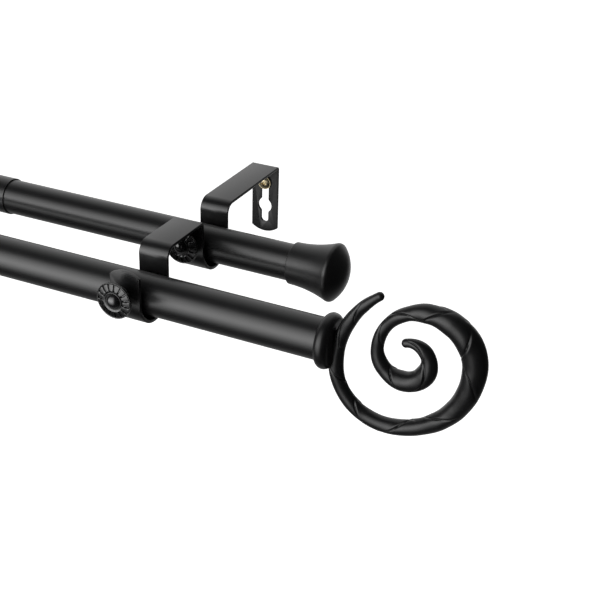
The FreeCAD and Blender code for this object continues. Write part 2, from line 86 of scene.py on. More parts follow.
def buildPaintSkin():  # baked paint: a fine peel, a faint bloom and slightly uneven gloss
    group = bpy.data.node_groups.new("paintSkin", "ShaderNodeTree")
    group.interface.new_socket("Vector", in_out="INPUT", socket_type="NodeSocketVector")
    for label, kind in skinInputs.items():
        group.interface.new_socket(label, in_out="INPUT", socket_type=kind)
    for label, kind in skinOutputs.items():
        group.interface.new_socket(label, in_out="OUTPUT", socket_type=kind)
    read = group.nodes.new("NodeGroupInput")
    write = group.nodes.new("NodeGroupOutput")
    link = group.links.new
    cloud = addNode(group, "ShaderNodeTexNoise", None, skinLook["cloud"])
    link(read.outputs["Vector"], cloud.inputs["Vector"])
    link(read.outputs["bloomSize"], cloud.inputs["Scale"])
    tone = addNode(group, "ShaderNodeMix", {"data_type": "RGBA"})
    link(cloud.outputs["Fac"], tone.inputs["Factor"])
    link(read.outputs["base"], tone.inputs["A"])
    link(read.outputs["bloom"], tone.inputs["B"])
    link(tone.outputs["Result"], write.inputs["Color"])
    offset = addNode(group, "ShaderNodeMath", {"operation": "SUBTRACT"}, {1: skinLook["cloudMean"]})
    link(cloud.outputs["Fac"], offset.inputs[0])
    gloss = addNode(group, "ShaderNodeMath", {"operation": "MULTIPLY_ADD"})
    link(offset.outputs[0], gloss.inputs[0])
    link(read.outputs["unevenness"], gloss.inputs[1])
    link(read.outputs["roughness"], gloss.inputs[2])
    link(gloss.outputs[0], write.inputs["Roughness"])
    peel = addNode(group, "ShaderNodeTexNoise", None, skinLook["peel"])
    link(read.outputs["Vector"], peel.inputs["Vector"])
    link(read.outputs["peelSize"], peel.inputs["Scale"])
    link(peel.outputs["Fac"], write.inputs["Height"])
    return group


paintSkin = buildPaintSkin()


def startMaterial(name):
    material = bpy.data.materials.new(name)
    material.use_nodes = True
    tree = material.node_tree
    shader = tree.nodes["Principled BSDF"]
    place = addNode(tree, "ShaderNodeTexCoord")
    return material, tree, shader, place.outputs["Object"]


def paintMaterial(finish):
    material, tree, shader, place = startMaterial(finish["name"])
    values = {label: finish[label] for label in skinInputs}
    skin = addNode(tree, "ShaderNodeGroup", {"node_tree": paintSkin}, values)
    bump = addNode(tree, "ShaderNodeBump", None, {"Distance": finish["peelDepth"], "Strength": 1.0})
    tree.links.new(place, skin.inputs["Vector"])
    tree.links.new(skin.outputs["Color"], shader.inputs["Base Color"])
    tree.links.new(skin.outputs["Roughness"], shader.inputs["Roughness"])
    tree.links.new(skin.outputs["Height"], bump.inputs["Height"])
    tree.links.new(bump.outputs["Normal"], shader.inputs["Normal"])
    shader.inputs["Metallic"].default_value = finish["metallic"]
    shader.inputs["Specular IOR Level"].default_value = finish["specular"]
    return material


def blackFinish(name, **changes):  # the tubes' satin black, or another finish by what differs from it
    finish = {
        "name": name,
        "base": (0.0045, 0.0045, 0.0048, 1),
        "bloom": (0.0075, 0.0075, 0.0078, 1),
        "roughness": 0.33,
        "unevenness": 0.05,
        "bloomSize": 45.0,
        "peelSize": 1100.0,
        "peelDepth": 0.012 * mm,
        "metallic": 0.0,
        "specular": 0.5,
    }
    finish.update(changes)
    return finish


finishes = {
    "tube_paint": paintMaterial(blackFinish("satinTubePaint")),
    "strap_paint": paintMaterial(blackFinish("satinStrapPaint", roughness=0.3)),
    "finial_paint": paintMaterial(blackFinish(
        "castFinialPaint", unevenness=0.14, bloomSize=160.0, peelSize=520.0, peelDepth=0.03 * mm,
        specular=0.34)),
    "cap_paint": paintMaterial(blackFinish("capPaint", roughness=0.38)),
    "knob_paint": paintMaterial(blackFinish("knobPaint", roughness=0.2, specular=0.75)),
    "black_steel": paintMaterial(blackFinish(
        "blackenedSteel", base=(0.05, 0.05, 0.052, 1), bloom=(0.09, 0.088, 0.085, 1), roughness=0.38,
        metallic=1.0)),
    "joint_steel": paintMaterial(blackFinish(
        "zincSteel", base=(0.48, 0.49, 0.5, 1), bloom=(0.6, 0.61, 0.62, 1), roughness=0.3, metallic=1.0)),
    "plug_nylon": paintMaterial(blackFinish(
        "naturalNylon", base=(0.62, 0.61, 0.56, 1), bloom=(0.7, 0.69, 0.65, 1), roughness=0.5)),
    "yellow_zinc": paintMaterial(blackFinish(
        "yellowZinc", base=(0.6, 0.5, 0.29, 1), bloom=(0.66, 0.58, 0.4, 1), roughness=0.3, unevenness=0.1,
        bloomSize=300.0, peelDepth=0.004 * mm, metallic=1.0)),
}
print("finishes made:", ", ".join(finishes))


# Shared ways of making a piece

toothLook = {"foot": 0.42, "flat": 0.12}  # half its foot in pitches, and its crest as a share of the foot


def smooth(low, high, value):
    share = min(max((value - low) / (high - low), 0.0), 1.0)
    return share * share * (3 - 2 * share)


def bendPoints(centre, radius, start, end, steps):  # an arc of a profile, angles in degrees
    angles = [math.radians(start + (end - start) * i / steps) for i in range(steps + 1)]
    return [(centre[0] + radius * math.cos(a), centre[1] + radius * math.sin(a)) for a in angles]


def domePoints(foot, radius, top, steps):  # a low dome, from its foot up to its top on the axis
    rise = top - foot
    ball = (radius ** 2 + rise ** 2) / (2 * rise)
    sweep = math.degrees(math.asin(radius / ball))
    return bendPoints((top - ball, 0), ball, sweep, 0, steps)


def lathe(profile, steps, closed=False):  # profile points are (along X, radius); turned about X
    bm = bmesh.new()
    rail = [bm.verts.new((along, 0, radius)) for along, radius in profile]
    edges = [bm.edges.new(pair) for pair in zip(rail, rail[1:])]
    if closed:
        edges.append(bm.edges.new((rail[-1], rail[0])))
    bmesh.ops.spin(
        bm, geom=rail + edges, cent=(0, 0, 0), axis=(1, 0, 0), angle=fullTurn, steps=steps, use_merge=True)
    bmesh.ops.remove_doubles(bm, verts=bm.verts, dist=mergeWithin)
    bmesh.ops.recalc_face_normals(bm, faces=bm.faces)
    return bm


def addThread(bm, thread, core, crest, start, end):  # a closed helical ridge about X, sunk in its core
    half = thread["pitch"] * toothLook["foot"]
    root = core - thread["sink"]
    tooth = [
        bm.verts.new((start - half, 0, root)),
        bm.verts.new((start - half * toothLook["flat"], 0, crest)),
        bm.verts.new((start + half * toothLook["flat"], 0, crest)),
        bm.verts.new((start + half, 0, root)),
    ]
    edges = [bm.edges.new((tooth[i], tooth[(i + 1) % 4])) for i in range(4)]
    bm.faces.new(tooth)
    turns = (end - start) / thread["pitch"]
    steps = int(turns * thread["stepsPerTurn"])
    lead = Vector(((end - start) / steps, 0, 0))
    made = bmesh.ops.spin(
        bm, geom=tooth + edges, cent=(0, 0, 0), axis=(1, 0, 0), dvec=lead, angle=fullTurn * turns,
        steps=steps)
    last = [item for item in made["geom_last"] if isinstance(item, bmesh.types.BMVert)]
    bmesh.ops.contextual_create(bm, geom=last)
    bmesh.ops.recalc_face_normals(bm, faces=bm.faces)


def setPiece(bm, name, node, sharpAngle=40.0):  # the mesh becomes a piece that stands for a node
    for face in bm.faces:
        face.smooth = True
    for edge in bm.edges:
        edge.smooth = edge.calc_face_angle(0.0) < math.radians(sharpAngle)
    mesh = bpy.data.meshes.new(name)
    bm.to_mesh(mesh)
    bm.free()
    mesh.materials.append(finishes[slotOf[node]])
    piece = bpy.data.objects.new(name, mesh)
    bpy.context.scene.collection.objects.link(piece)
    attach(piece, bodyOf[node])
    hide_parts(node)
    return piece


def move(bm, matrix):
    bmesh.ops.transform(bm, matrix=matrix, verts=bm.verts)


def alongPole(place, side):  # local X points to the pole's end on that side
    turn = Matrix.Rotation(0.0 if side == "right" else math.pi, 4, "Z")
    return Matrix.Translation(place) @ turn


def towardsRoom(place):  # local X points out of the wall, local Z stays up
    turn = Matrix(((0, 1, 0, 0), (-1, 0, 0, 0), (0, 0, 1, 0), (0, 0, 0, 1)))
    return Matrix.Translation(place) @ turn


# Tubes

tubeLook = {"steps": 128, "wall": 0.7 * mm, "edge": 0.15 * mm}


def makeTube(node, axis):
    low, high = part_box(node)
    outer = (high.z - low.z) / 2
    inner = outer - tubeLook["wall"]
    edge = tubeLook["edge"]
    profile = [
        (low.x, inner), (low.x, outer - edge), (low.x + edge, outer), (high.x - edge, outer),
        (high.x, outer - edge), (high.x, inner),
    ]
    bm = lathe(profile, tubeLook["steps"], closed=True)
    move(bm, Matrix.Translation((0, axis.y, axis.z)))
    setPiece(bm, node.replace("_tube", "_pole"), node)


for node in ("front_outer_tube", "front_inner_tube"):
    makeTube(node, frontAxis)
for node in ("back_outer_tube", "back_inner_tube"):
    makeTube(node, backAxis)
print("tubes made")


# End caps

capLook = {
    "steps": 128, "grip": 20 * mm, "slack": 0.05 * mm, "mouthRadius": 13.6 * mm, "mouthRound": 0.6 * mm,
    "flareLength": 27 * mm, "spread": 5 * mm, "rimRound": 2.8 * mm, "crownRadius": 26.2 * mm,
    "mouthSteps": 5, "flareSteps": 26, "rimSteps": 12, "crownSteps": 22, "sharpAngle": 50,
}


def makeEndCap(side):
    tube = "back_inner_tube" if side == "right" else "back_outer_tube"
    low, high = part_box(tube)
    bore = (high.z - low.z) / 2 + capLook["slack"]
    end = high.x if side == "right" else low.x
    mouth, edge, rounding = capLook["mouthRadius"], capLook["mouthRound"], capLook["rimRound"]
    start, length, spread = -capLook["grip"], capLook["flareLength"], capLook["spread"]
    flare = (length ** 2 + spread ** 2) / (2 * spread)
    sweep = math.degrees(math.asin(length / flare))
    leave = math.degrees(math.asin(edge / flare))
    # the rim's round goes on from the flare and runs into the crown, a cap of a ball
    rim = (start + length + rounding * length / flare, mouth + spread - rounding * (1 - spread / flare))
    crown = capLook["crownRadius"]
    crownX = rim[0] - math.sqrt((crown - rounding) ** 2 - rim[1] ** 2)
    meet = math.degrees(math.atan2(rim[1], rim[0] - crownX))
    lowEdge = mouth + flare * (1 - math.cos(math.radians(leave))) - edge
    profile = [(0, 0), (0, bore), (start, bore)]
    profile += bendPoints((start + edge, lowEdge), edge, 180, 90, capLook["mouthSteps"])
    profile += bendPoints((start, mouth + flare), flare, -90 + leave, -90 + sweep, capLook["flareSteps"])[1:]
    profile += bendPoints(rim, rounding, 90 + sweep, meet, capLook["rimSteps"])[1:]
    profile += bendPoints((crownX, 0), crown, meet, 0, capLook["crownSteps"])[1:]
    bm = lathe(profile, capLook["steps"])
    move(bm, alongPole(Vector((end, backAxis.y, backAxis.z)), side))
    setPiece(bm, "flared_cap_" + side, "end_cap_" + side, capLook["sharpAngle"])


for side in sides:
    makeEndCap(side)
print("end caps made")


# Scroll finials

armLook = {
    "seat": (9.1 * mm, -12.7 * mm),  # where the arm's line touches the bead, from the tube's end
    "arcs": [  # tangent arcs from the outer tip to the inner one: radius and turn in degrees
        (61.1 * mm, 52), (32.3 * mm, 97), (50.3 * mm, 82.6), (27.1 * mm, 85.3), (29.0 * mm, 94.2),
        (16.5 * mm, 85), (14.3 * mm, 98.8), (10.4 * mm, 108),
    ],
    "thickness": [  # half, mm, at even steps from the outer tip
        2.6, 3.45, 4.05, 4.1, 4.45, 4.15, 4.4, 4.6, 4.75, 4.9, 5.6, 6.15, 6.6, 7.05, 7.3, 6.8, 5.55, 4.05,
        3.5, 3.65, 4.45, 5.85, 6.0, 4.15, 2.6,
    ],
    "around": 96,
    "step": 0.4 * mm,
    "tipRings": 10,
    "sharpAngle": 60,
}


def armHalf(share):
    table = armLook["thickness"]
    spot = share * (len(table) - 1)
    index = min(int(spot), len(table) - 2)
    ease = smooth(0.0, 1.0, spot - index)
    return (table[index] * (1 - ease) + table[index + 1] * ease) * mm


# A crease is a narrow cut. One lip stands proud like a leaf's edge, and the skin on the other side dips
creaseLook = {
    # start and end of each on the arm's front, as millimetres from the outer tip and degrees round the arm,
    # where 0 faces the scroll's middle and 90 the room
    "places": [
        ((11, 150), (22, 55)), ((29, 150), (41, 70)), ((55, 165), (68, 0)), ((82, 20), (93, 125)),
        ((105, 140), (122, 0)), ((134, 5), (151, 110)), ((184, 60), (166, 158)), ((205, 160), (193, 30)),
        ((230, 50), (217, 168)), ((247, 165), (233, 70)), ((254, 160), (267, 30)), ((285, 15), (295, 125)),
        ((303, 140), (320, 65)), ((336, 130), (325, 60)),
    ],
    "width": 0.5 * mm, "depth": 0.85 * mm, "cutPower": 1.5,
    "swell": 0.4 * mm, "dip": 0.32 * mm, "swellWidth": 2.2 * mm, "swellRise": 9,
    "runOut": 0.15, "fadePower": 0.7,  # how far past its ends, as a share of its length, and how it dies away
    "nearby": 4.0 * mm,  # rings further off than this leave a crease out
    "backLag": 3.0 * mm,
}


def creaseLines():  # the front's creases and the back's, which follow a little further along
    lines = []
    for mirrored, lag in ((1, 0.0), (-1, creaseLook["backLag"])):
        for (startFar, startTurn), (endFar, endTurn) in creaseLook["places"]:
            lines.append((
                startFar * mm + lag, endFar * mm + lag,
                math.radians(startTurn) * mirrored, math.radians(endTurn) * mirrored))
    return lines


def creaseHeight(lines, far, angle, half):  # how far the skin stands from the plain round arm
    height = 0.0
    runOut = creaseLook["runOut"]
    for startFar, endFar, startTurn, endTurn in lines:
        middle = (startTurn + endTurn) / 2
        turn = (angle - middle + math.pi) % fullTurn - math.pi + middle
        lineX, lineY = endFar - startFar, (endTurn - startTurn) * half
        x, y = far - startFar, (turn - startTurn) * half
        square = lineX * lineX + lineY * lineY
        share = (x * lineX + y * lineY) / square
        if not -runOut < share < 1 + runOut:
            continue
        across = (x * lineY - y * lineX) / math.sqrt(square)
        fade = math.sin(math.pi * (share + runOut) / (1 + 2 * runOut)) ** creaseLook["fadePower"]
        cut = math.exp(-abs(across / creaseLook["width"]) ** creaseLook["cutPower"])
        side = across / creaseLook["swellWidth"]
        leaf = creaseLook["swell"] if side > 0 else -creaseLook["dip"]
        leaf *= min(abs(side) * creaseLook["swellRise"], 1) * math.exp(-side * side)
        leaf *= abs(math.sin(angle))  # flat at the arm's inner and outer edges
        height += fade * (leaf - creaseLook["depth"] * cut)
    return height


def armLine(far):  # the middle of the arm and its heading, at a distance from the outer tip
    firstRadius, firstTurn = armLook["arcs"][0]
    opening = math.radians(firstTurn)
    heading = -math.pi / 2 - opening
    spot = Vector((armLook["seat"][0], 0, armLook["seat"][1]))
    spot += firstRadius * Vector((1 - math.cos(opening), 0, math.sin(opening)))
    for radius, turn in armLook["arcs"]:
        centre = spot + radius * Vector((-math.sin(heading), 0, math.cos(heading)))
        bite = min(far / radius, math.radians(turn))
        heading += bite
        far -= radius * bite
        spot = centre + radius * Vector((math.sin(heading), 0, -math.cos(heading)))
        if far <= 0:
            break
    return spot, heading


def makeArm(bm):  # a grid rolled into a tapering arm: its rows are rings, the first and last few its tips
    total = sum(radius * math.radians(turn) for radius, turn in armLook["arcs"])
    tip, body = armLook["tipRings"], round(total / armLook["step"])
    rows = body + 2 * tip
    nearby = creaseLook["nearby"]
    lines = creaseLines()
    rings = []
    for row in range(rows + 1):
        share = min(max((row - tip) / body, 0.0), 1.0)
        far = share * total
        spot, heading = armLine(far)
        ahead = Vector((math.cos(heading), 0, math.sin(heading)))
        inward = Vector((-math.sin(heading), 0, math.cos(heading)))
        beyond = max(tip - row, 0) - max(row - tip - body, 0)  # rings past the end of the arm's line
        bulge = math.pi / 2 * beyond / tip
        half = armHalf(share)
        near = [line for line in lines if min(line[:2]) - nearby < far < max(line[:2]) + nearby]
        rings.append((far, spot - ahead * half * math.sin(bulge), inward, half, math.cos(bulge), near))
    bmesh.ops.create_grid(bm, x_segments=rows, y_segments=armLook["around"], size=0.5)
    for vert in bm.verts:  # the grid is 1 m square about the origin
        far, spot, inward, half, shrink, near = rings[round((vert.co.x + 0.5) * rows)]
        angle = vert.co.y * fullTurn
        reach = half * shrink + creaseHeight(near, far, angle, half)
        vert.co = spot + reach * (inward * math.cos(angle) - Vector((0, math.sin(angle), 0)))
    bmesh.ops.remove_doubles(bm, verts=bm.verts, dist=mergeWithin)
    bmesh.ops.recalc_face_normals(bm, faces=bm.faces)


beadLook = {
    "radius": 16.5 * mm, "width": 8.2 * mm, "steps": 128, "roundSteps": 30, "backShare": 0.9,
    "boreRadius": 3.0 * mm, "boreDepth": 8.0 * mm,
}


def makeBead(bm):
    curve = beadLook["width"] / 2
    waist = beadLook["radius"] - curve
    bore, depth = beadLook["boreRadius"], beadLook["boreDepth"]
    profile = [(depth, 0), (depth, bore), (0, bore), (0, waist * beadLook["backShare"])]
    profile += bendPoints((curve, waist), curve, 180, 0, beadLook["roundSteps"])
    profile += [(beadLook["width"], 0)]
    turned = lathe(profile, beadLook["steps"])
    mesh = bpy.data.meshes.new("bead")
    turned.to_mesh(mesh)
    turned.free()
    bm.from_mesh(mesh)
    bpy.data.meshes.remove(mesh)


casting = bmesh.new()
makeArm(casting)
makeBead(casting)
for side in sides:
    low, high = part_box("front_outer_tube" if side == "right" else "front_inner_tube")
    end = high.x if side == "right" else low.x
    bm = casting.copy()
    move(bm, alongPole(Vector((end, frontAxis.y, frontAxis.z)), side))
    setPiece(bm, "scroll_finial_" + side, "finial_" + side, armLook["sharpAngle"])
casting.free()
print("finials made")


# Thumbscrews

knobLook = {
    "steps": 240, "pads": 15, "hub": 5.0 * mm, "hubLength": 6.9 * mm, "fillet": 1.0 * mm, "filletSteps": 6,
    "rim": 11.5 * mm, "thick": 2.6 * mm, "bore": 2.5 * mm, "boreDepth": 6.0 * mm, "sharpAngle": 50,
    "padInner": 6.8 * mm, "padOuter": 10.6 * mm, "padDrop": 0.65 * mm, "padSlope": 0.7 * mm, "padSteps": 26,
    "padCrown": 0.06 * mm, "cutInner": 6.65 * mm, "cutOuter": 10.65 * mm, "cutBack": 1.3 * mm,
    "grooveWidth": 0.86 * mm, "grooveDepth": 0.9 * mm, "grooveFloor": 0.3, "grooveBrim": 0.75,
    "dome": 4.8 * mm, "domeSink": 0.1 * mm, "domeSteps": 16,
    # small points of the outline in mm, along and out from the corner that they stand by, and beads, each
    # with its centre, its radius, the angles that it runs between and its steps
    "mouthEdge": [(0, -0.5), (0.15, -0.15), (0.5, 0)],
    "flangeBack": [(0.1, -1.6), (0.25, -0.6)],
    "backBead": (0.65, -0.5, 0.4, 130, 60, 4),
    "rimGroove": [(1.0, -0.32)],
    "frontBead": (-0.95, -0.35, 0.35, 120, 10, 6),
    "padStep": [(-0.75, -0.6), (-1.0, -0.85)],
    "innerWall": [(0.1, 6.6), (-0.3, 5.8), (-0.32, 5.6)],
    "innerRing": (-0.1, 5.3, 0.27, 80, -80, 8),
    "domeTrough": [(-0.3, 5.0), (-0.3, 4.85)],
}


def pointsAt(corner, name):
    return [(corner[0] + along * mm, corner[1] + out * mm) for along, out in knobLook[name]]


def beadAt(corner, name):
    along, out, radius, start, end, steps = knobLook[name]
    return bendPoints((corner[0] + along * mm, corner[1] + out * mm), radius * mm, start, end, steps)


def makeKnob(length):  # stands on its mouth, where the stud goes in, with its face along +X
    back = knobLook["hubLength"]
    face = back + knobLook["thick"]
    hub, rim, bore, fillet = (knobLook[key] for key in ("hub", "rim", "bore", "fillet"))
    profile = [(knobLook["boreDepth"], 0), (knobLook["boreDepth"], bore), (0, bore)]
    profile += pointsAt((0, hub), "mouthEdge")
    profile += bendPoints((back - fillet, hub + fillet), fillet, -90, 0, knobLook["filletSteps"])
    profile += pointsAt((back, rim), "flangeBack")
    profile += beadAt((back, rim), "backBead")
    profile += pointsAt((back, rim), "rimGroove")
    profile += beadAt((face, rim), "frontBead")
    profile += pointsAt((face, rim), "padStep")
    for i in range(knobLook["padSteps"] + 1):  # the pads' band, a shallow cone
        share = i / knobLook["padSteps"]
        radius = knobLook["padOuter"] + (knobLook["padInner"] - knobLook["padOuter"]) * share
        profile.append((face - knobLook["padDrop"] + knobLook["padSlope"] * share, radius))
    profile += pointsAt((face, 0), "innerWall")
    profile += beadAt((face, 0), "innerRing")
    profile += pointsAt((face, 0), "domeTrough")
    profile += domePoints(face - knobLook["domeSink"], knobLook["dome"], length, knobLook["domeSteps"])
    bm = lathe(profile, knobLook["steps"])
    cutGrooves(bm, face)
    return bm


def cutGrooves(bm, face):  # between the pads, which are crowned a little
    pitch = fullTurn / knobLook["pads"]
    floor = knobLook["grooveWidth"] * knobLook["grooveFloor"]
    brim = knobLook["grooveWidth"] * knobLook["grooveBrim"]
    for vert in bm.verts:
        radius = math.hypot(vert.co.y, vert.co.z)
        if vert.co.x < face - knobLook["cutBack"] or not knobLook["cutInner"] < radius < knobLook["cutOuter"]:
            continue
        angle = math.atan2(vert.co.z, vert.co.y)
        away = abs((angle / pitch) % 1 - 0.5) * pitch * radius  # from the middle of the nearest groove
        crown = min(away / (pitch * radius / 2), 1)
        vert.co.x += knobLook["padCrown"] * crown - knobLook["grooveDepth"] * (1 - smooth(floor, brim, away))


studLook = {
    "steps": 48, "core": 2.08 * mm, "crest": 2.47 * mm,
    "tip": 1.2 * mm, "tipLength": 1.3 * mm, "tipRound": (0.12 * mm, 0.15 * mm),
    "threadIn": 0.4 * mm, "threadOut": 0.5 * mm, "sharpAngle": 50,
    "thread": {"pitch": 0.8 * mm, "sink": 0.08 * mm, "stepsPerTurn": 32},
}


def makeStud(length):  # stands on its point
    core, tip, taper = studLook["core"], studLook["tip"], studLook["tipLength"]
    roundLength, roundDepth = studLook["tipRound"]
    profile = [(0, 0), (0, tip - roundDepth), (roundLength, tip), (taper, core), (length, core), (length, 0)]
    bm = lathe(profile, studLook["steps"])
    start, end = taper + studLook["threadIn"], length - studLook["threadOut"]
    addThread(bm, studLook["thread"], core, studLook["crest"], start, end)
    return bm


for kind, make, look, title in (
        ("knob", makeKnob, knobLook, "rosette_knob_"), ("stud", makeStud, studLook, "threaded_stud_")):
    first = None
    for name in clampNames:
        node = "clamp_%s_%s" % (kind, name)
        low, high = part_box(node)
        first = first or make(high.y - low.y)
        bm = first.copy()
        move(bm, towardsRoom(Vector(((low.x + high.x) / 2, high.y, (low.z + high.z) / 2))))
        setPiece(bm, title + name, node, look["sharpAngle"])
    first.free()
print("thumbscrews made")


# Wall screws

screwLook = {
    "steps": 64, "head": 4.7 * mm, "headSeat": 2.1 * mm, "headEdge": 1.1 * mm, "headBevel": 0.2 * mm,
    "crownInset": 0.3 * mm, "crownSteps": 12,
    "neck": 2.05 * mm, "neckReach": 0.5 * mm, "neckTaper": 0.3 * mm, "core": 1.6 * mm,
    "point": 4.0 * mm, "pointTip": (0.2 * mm, 0.12 * mm),
    "crest": 2.25 * mm, "threadGap": 0.8 * mm,
    "thread": {"pitch": 1.8 * mm, "sink": 0.1 * mm, "stepsPerTurn": 40},
    "recessSpan": 2.5 * mm, "recessWidth": 0.62 * mm, "recessDepth": 1.7 * mm,  # span and width are halves
    "recessTaper": (0.45, 0.8),  # along and across an arm, at the bottom
}


def makeWallScrew(side):
    node = "wall_screw_" + side
    low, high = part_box(node)
    middle = (low + high) / 2
    seat, top, tail = screwLook["headSeat"], -low.y, -high.y
    head, bevel, neck, core = (screwLook[key] for key in ("head", "headBevel", "neck", "core"))
    crownStart = seat + screwLook["headEdge"]
    shankStart = -screwLook["neckReach"]
    pointStart = tail + screwLook["point"]
    tipLength, tipRadius = screwLook["pointTip"]
    profile = [
        (tail, 0), (tail + tipLength, tipRadius), (pointStart, core),
        (shankStart - screwLook["neckTaper"], core), (shankStart, neck), (seat, neck),
        (seat, head - bevel), (seat + bevel, head), (crownStart, head),
    ]
    profile += domePoints(crownStart, head - screwLook["crownInset"], top, screwLook["crownSteps"])
    bm = lathe(profile, screwLook["steps"])
    end = shankStart - screwLook["threadGap"]
    addThread(bm, screwLook["thread"], core, screwLook["crest"], pointStart, end)
    move(bm, towardsRoom(Vector((middle.x, 0, middle.z))))
    piece = setPiece(bm, "pan_head_screw_" + side, node)
    cutRecess(piece, Vector((middle.x, low.y, middle.z)))


def cutRecess(piece, face):  # a tapering cross sunk in the head
    bm = bmesh.new()
    span, width, depth = (screwLook[key] for key in ("recessSpan", "recessWidth", "recessDepth"))
    along, across = screwLook["recessTaper"]
    for wide, tall, taper in ((span, width, (along, 1, across)), (width, span, (across, 1, along))):
        block = bmesh.ops.create_cube(bm, size=1.0)["verts"]
        bmesh.ops.scale(bm, vec=(2 * wide, 2 * depth, 2 * tall), verts=block)
        deep = [vert for vert in block if vert.co.y > 0]
        bmesh.ops.scale(bm, vec=taper, verts=deep)
    bmesh.ops.translate(bm, vec=face, verts=bm.verts)
    mesh = bpy.data.meshes.new("recessCutter")
    bm.to_mesh(mesh)
    bm.free()
    cutter = bpy.data.objects.new("recessCutter", mesh)
    bpy.context.scene.collection.objects.link(cutter)
    bite = piece.modifiers.new("recess", "BOOLEAN")
    bite.operation = "DIFFERENCE"
    bite.solver = "EXACT"
    bite.use_self = True
    bite.object = cutter
    applyModifiers(piece)
    bpy.data.objects.remove(cutter)


def applyModifiers(piece):
    bpy.context.view_layer.update()
    graph = bpy.context.evaluated_depsgraph_get()
    done = bpy.data.meshes.new_from_object(piece.evaluated_get(graph))
    piece.modifiers.clear()
    piece.data = done


for side in sides:
    makeWallScrew(side)
print("wall screws made")


# Brackets

bracketLook = {
    "edge": 0.28 * mm, "segments": 3, "cornerAngle": 50, "sharpAngle": 35,
    "mergeWithin": 0.002 * mm, "flatWithin": 0.3,
}


def makeBracket(side):
    node = "bracket_" + side
    bm = bmesh.new()
    bm.from_mesh(frame["nodes"][node].data)
    bmesh.ops.remove_doubles(bm, verts=bm.verts, dist=bracketLook["mergeWithin"])
    bmesh.ops.dissolve_limit(
        bm, angle_limit=math.radians(bracketLook["flatWithin"]), verts=bm.verts, edges=bm.edges)
    cornerAngle = math.radians(bracketLook["cornerAngle"])
    corners = [edge for edge in bm.edges if edge.calc_face_angle(0.0) > cornerAngle]
    bmesh.ops.bevel(
        bm, geom=corners, offset=bracketLook["edge"], offset_type="OFFSET", segments=bracketLook["segments"],
        profile=0.5, affect="EDGES", clamp_overlap=True, material=-1)
    setPiece(bm, "strap_bracket_" + side, node, bracketLook["sharpAngle"])


for side in sides:
    makeBracket(side)
print("brackets made")


# Fixings hidden in the front pole's ends

plugLook = {
    "steps": 48, "bore": 3.05 * mm, "ribs": 4, "ribHeight": 0.35 * mm, "ribSlope": 0.3 * mm,
    "ribSpan": (0.3, 0.8),  # shares of the space that each rib has
}
rodLook = {
    "steps": 48, "core": 2.5 * mm, "bevel": 0.2 * mm, "crestSlack": 0.02 * mm, "threadGap": 0.7 * mm,
    "thread": {"pitch": 1.0 * mm, "sink": 0.08 * mm, "stepsPerTurn": 28},
}


def makePlug(side):
    node = "tube_plug_" + side
    low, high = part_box(node)
    outer = (high.z - low.z) / 2
    length = high.x - low.x
    root = outer - plugLook["ribHeight"]
    ribStart, ribEnd = plugLook["ribSpan"]
    profile = [(0, plugLook["bore"]), (0, root)]
    for i in range(plugLook["ribs"]):
        start = length * (i + ribStart) / plugLook["ribs"]
        end = length * (i + ribEnd) / plugLook["ribs"]
        profile += [(start, root), (start + plugLook["ribSlope"], outer)]
        profile += [(end, outer), (end + plugLook["ribSlope"], root)]
    profile += [(length, root), (length, plugLook["bore"])]
    bm = lathe(profile, plugLook["steps"], closed=True)
    move(bm, Matrix.Translation((low.x, frontAxis.y, frontAxis.z)))
    setPiece(bm, "ribbed_plug_" + side, node)


def makeJointStud(side):
    node = "joint_stud_" + side
    low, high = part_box(node)
    crest = (high.z - low.z) / 2 - rodLook["crestSlack"]
    core, bevel, gap = rodLook["core"], rodLook["bevel"], rodLook["threadGap"]
    length = high.x - low.x
    profile = [
        (0, 0), (0, core - bevel), (bevel, core), (length - bevel, core), (length, core - bevel), (length, 0),
    ]
    bm = lathe(profile, rodLook["steps"])
    addThread(bm, rodLook["thread"], core, crest, gap, length - gap)
    move(bm, Matrix.Translation((low.x, frontAxis.y, frontAxis.z)))
    setPiece(bm, "threaded_rod_" + side, node)


for side in sides:
    makePlug(side)
    makeJointStud(side)
print("fixings made")


# Studio

# Each fade has the places where it starts and ends and its strengths there
worldLook = {"behind": (-0.15, 0.65, 0.03, 1.0), "beside": (0.05, 0.5, 1.0, 0.06)}
floorLook = {
    "height": -1.35, "size": 18.0, "tone": 0.82, "lift": 0.93, "roughness": 0.9,
    "under": (-0.8, 0.4, 0.0, 0.36), "behind": (0.4, 2.6, 0.0, 0.64), "beside": (0.4, 1.8, 1.0, 0.04),
}
clothLook = {
    "wide": 3.6, "tall": 4.0, "place": (-0.75, -1.55, 0.65), "tone": 5.1,
    "middle": -0.55, "upperFall": 1.4, "lowerFall": 1.6, "fadeFrom": 0.25,
}
white = (1, 1, 1, 1)


def mapped(tree, source, fade, kind="SMOOTHSTEP"):
    start, end, first, last = fade
    node = addNode(
        tree, "ShaderNodeMapRange", {"interpolation_type": kind},
        {"From Min": start, "From Max": end, "To Min": first, "To Max": last})
    tree.links.new(source, node.inputs["Value"])
    return node.outputs["Result"]


def worked(tree, operation, *sources):
    node = addNode(tree, "ShaderNodeMath", {"operation": operation})
    for socket, source in zip(node.inputs, sources):
        if isinstance(source, (int, float)):
            socket.default_value = source
        else:
            tree.links.new(source, socket)
    return node.outputs[0]


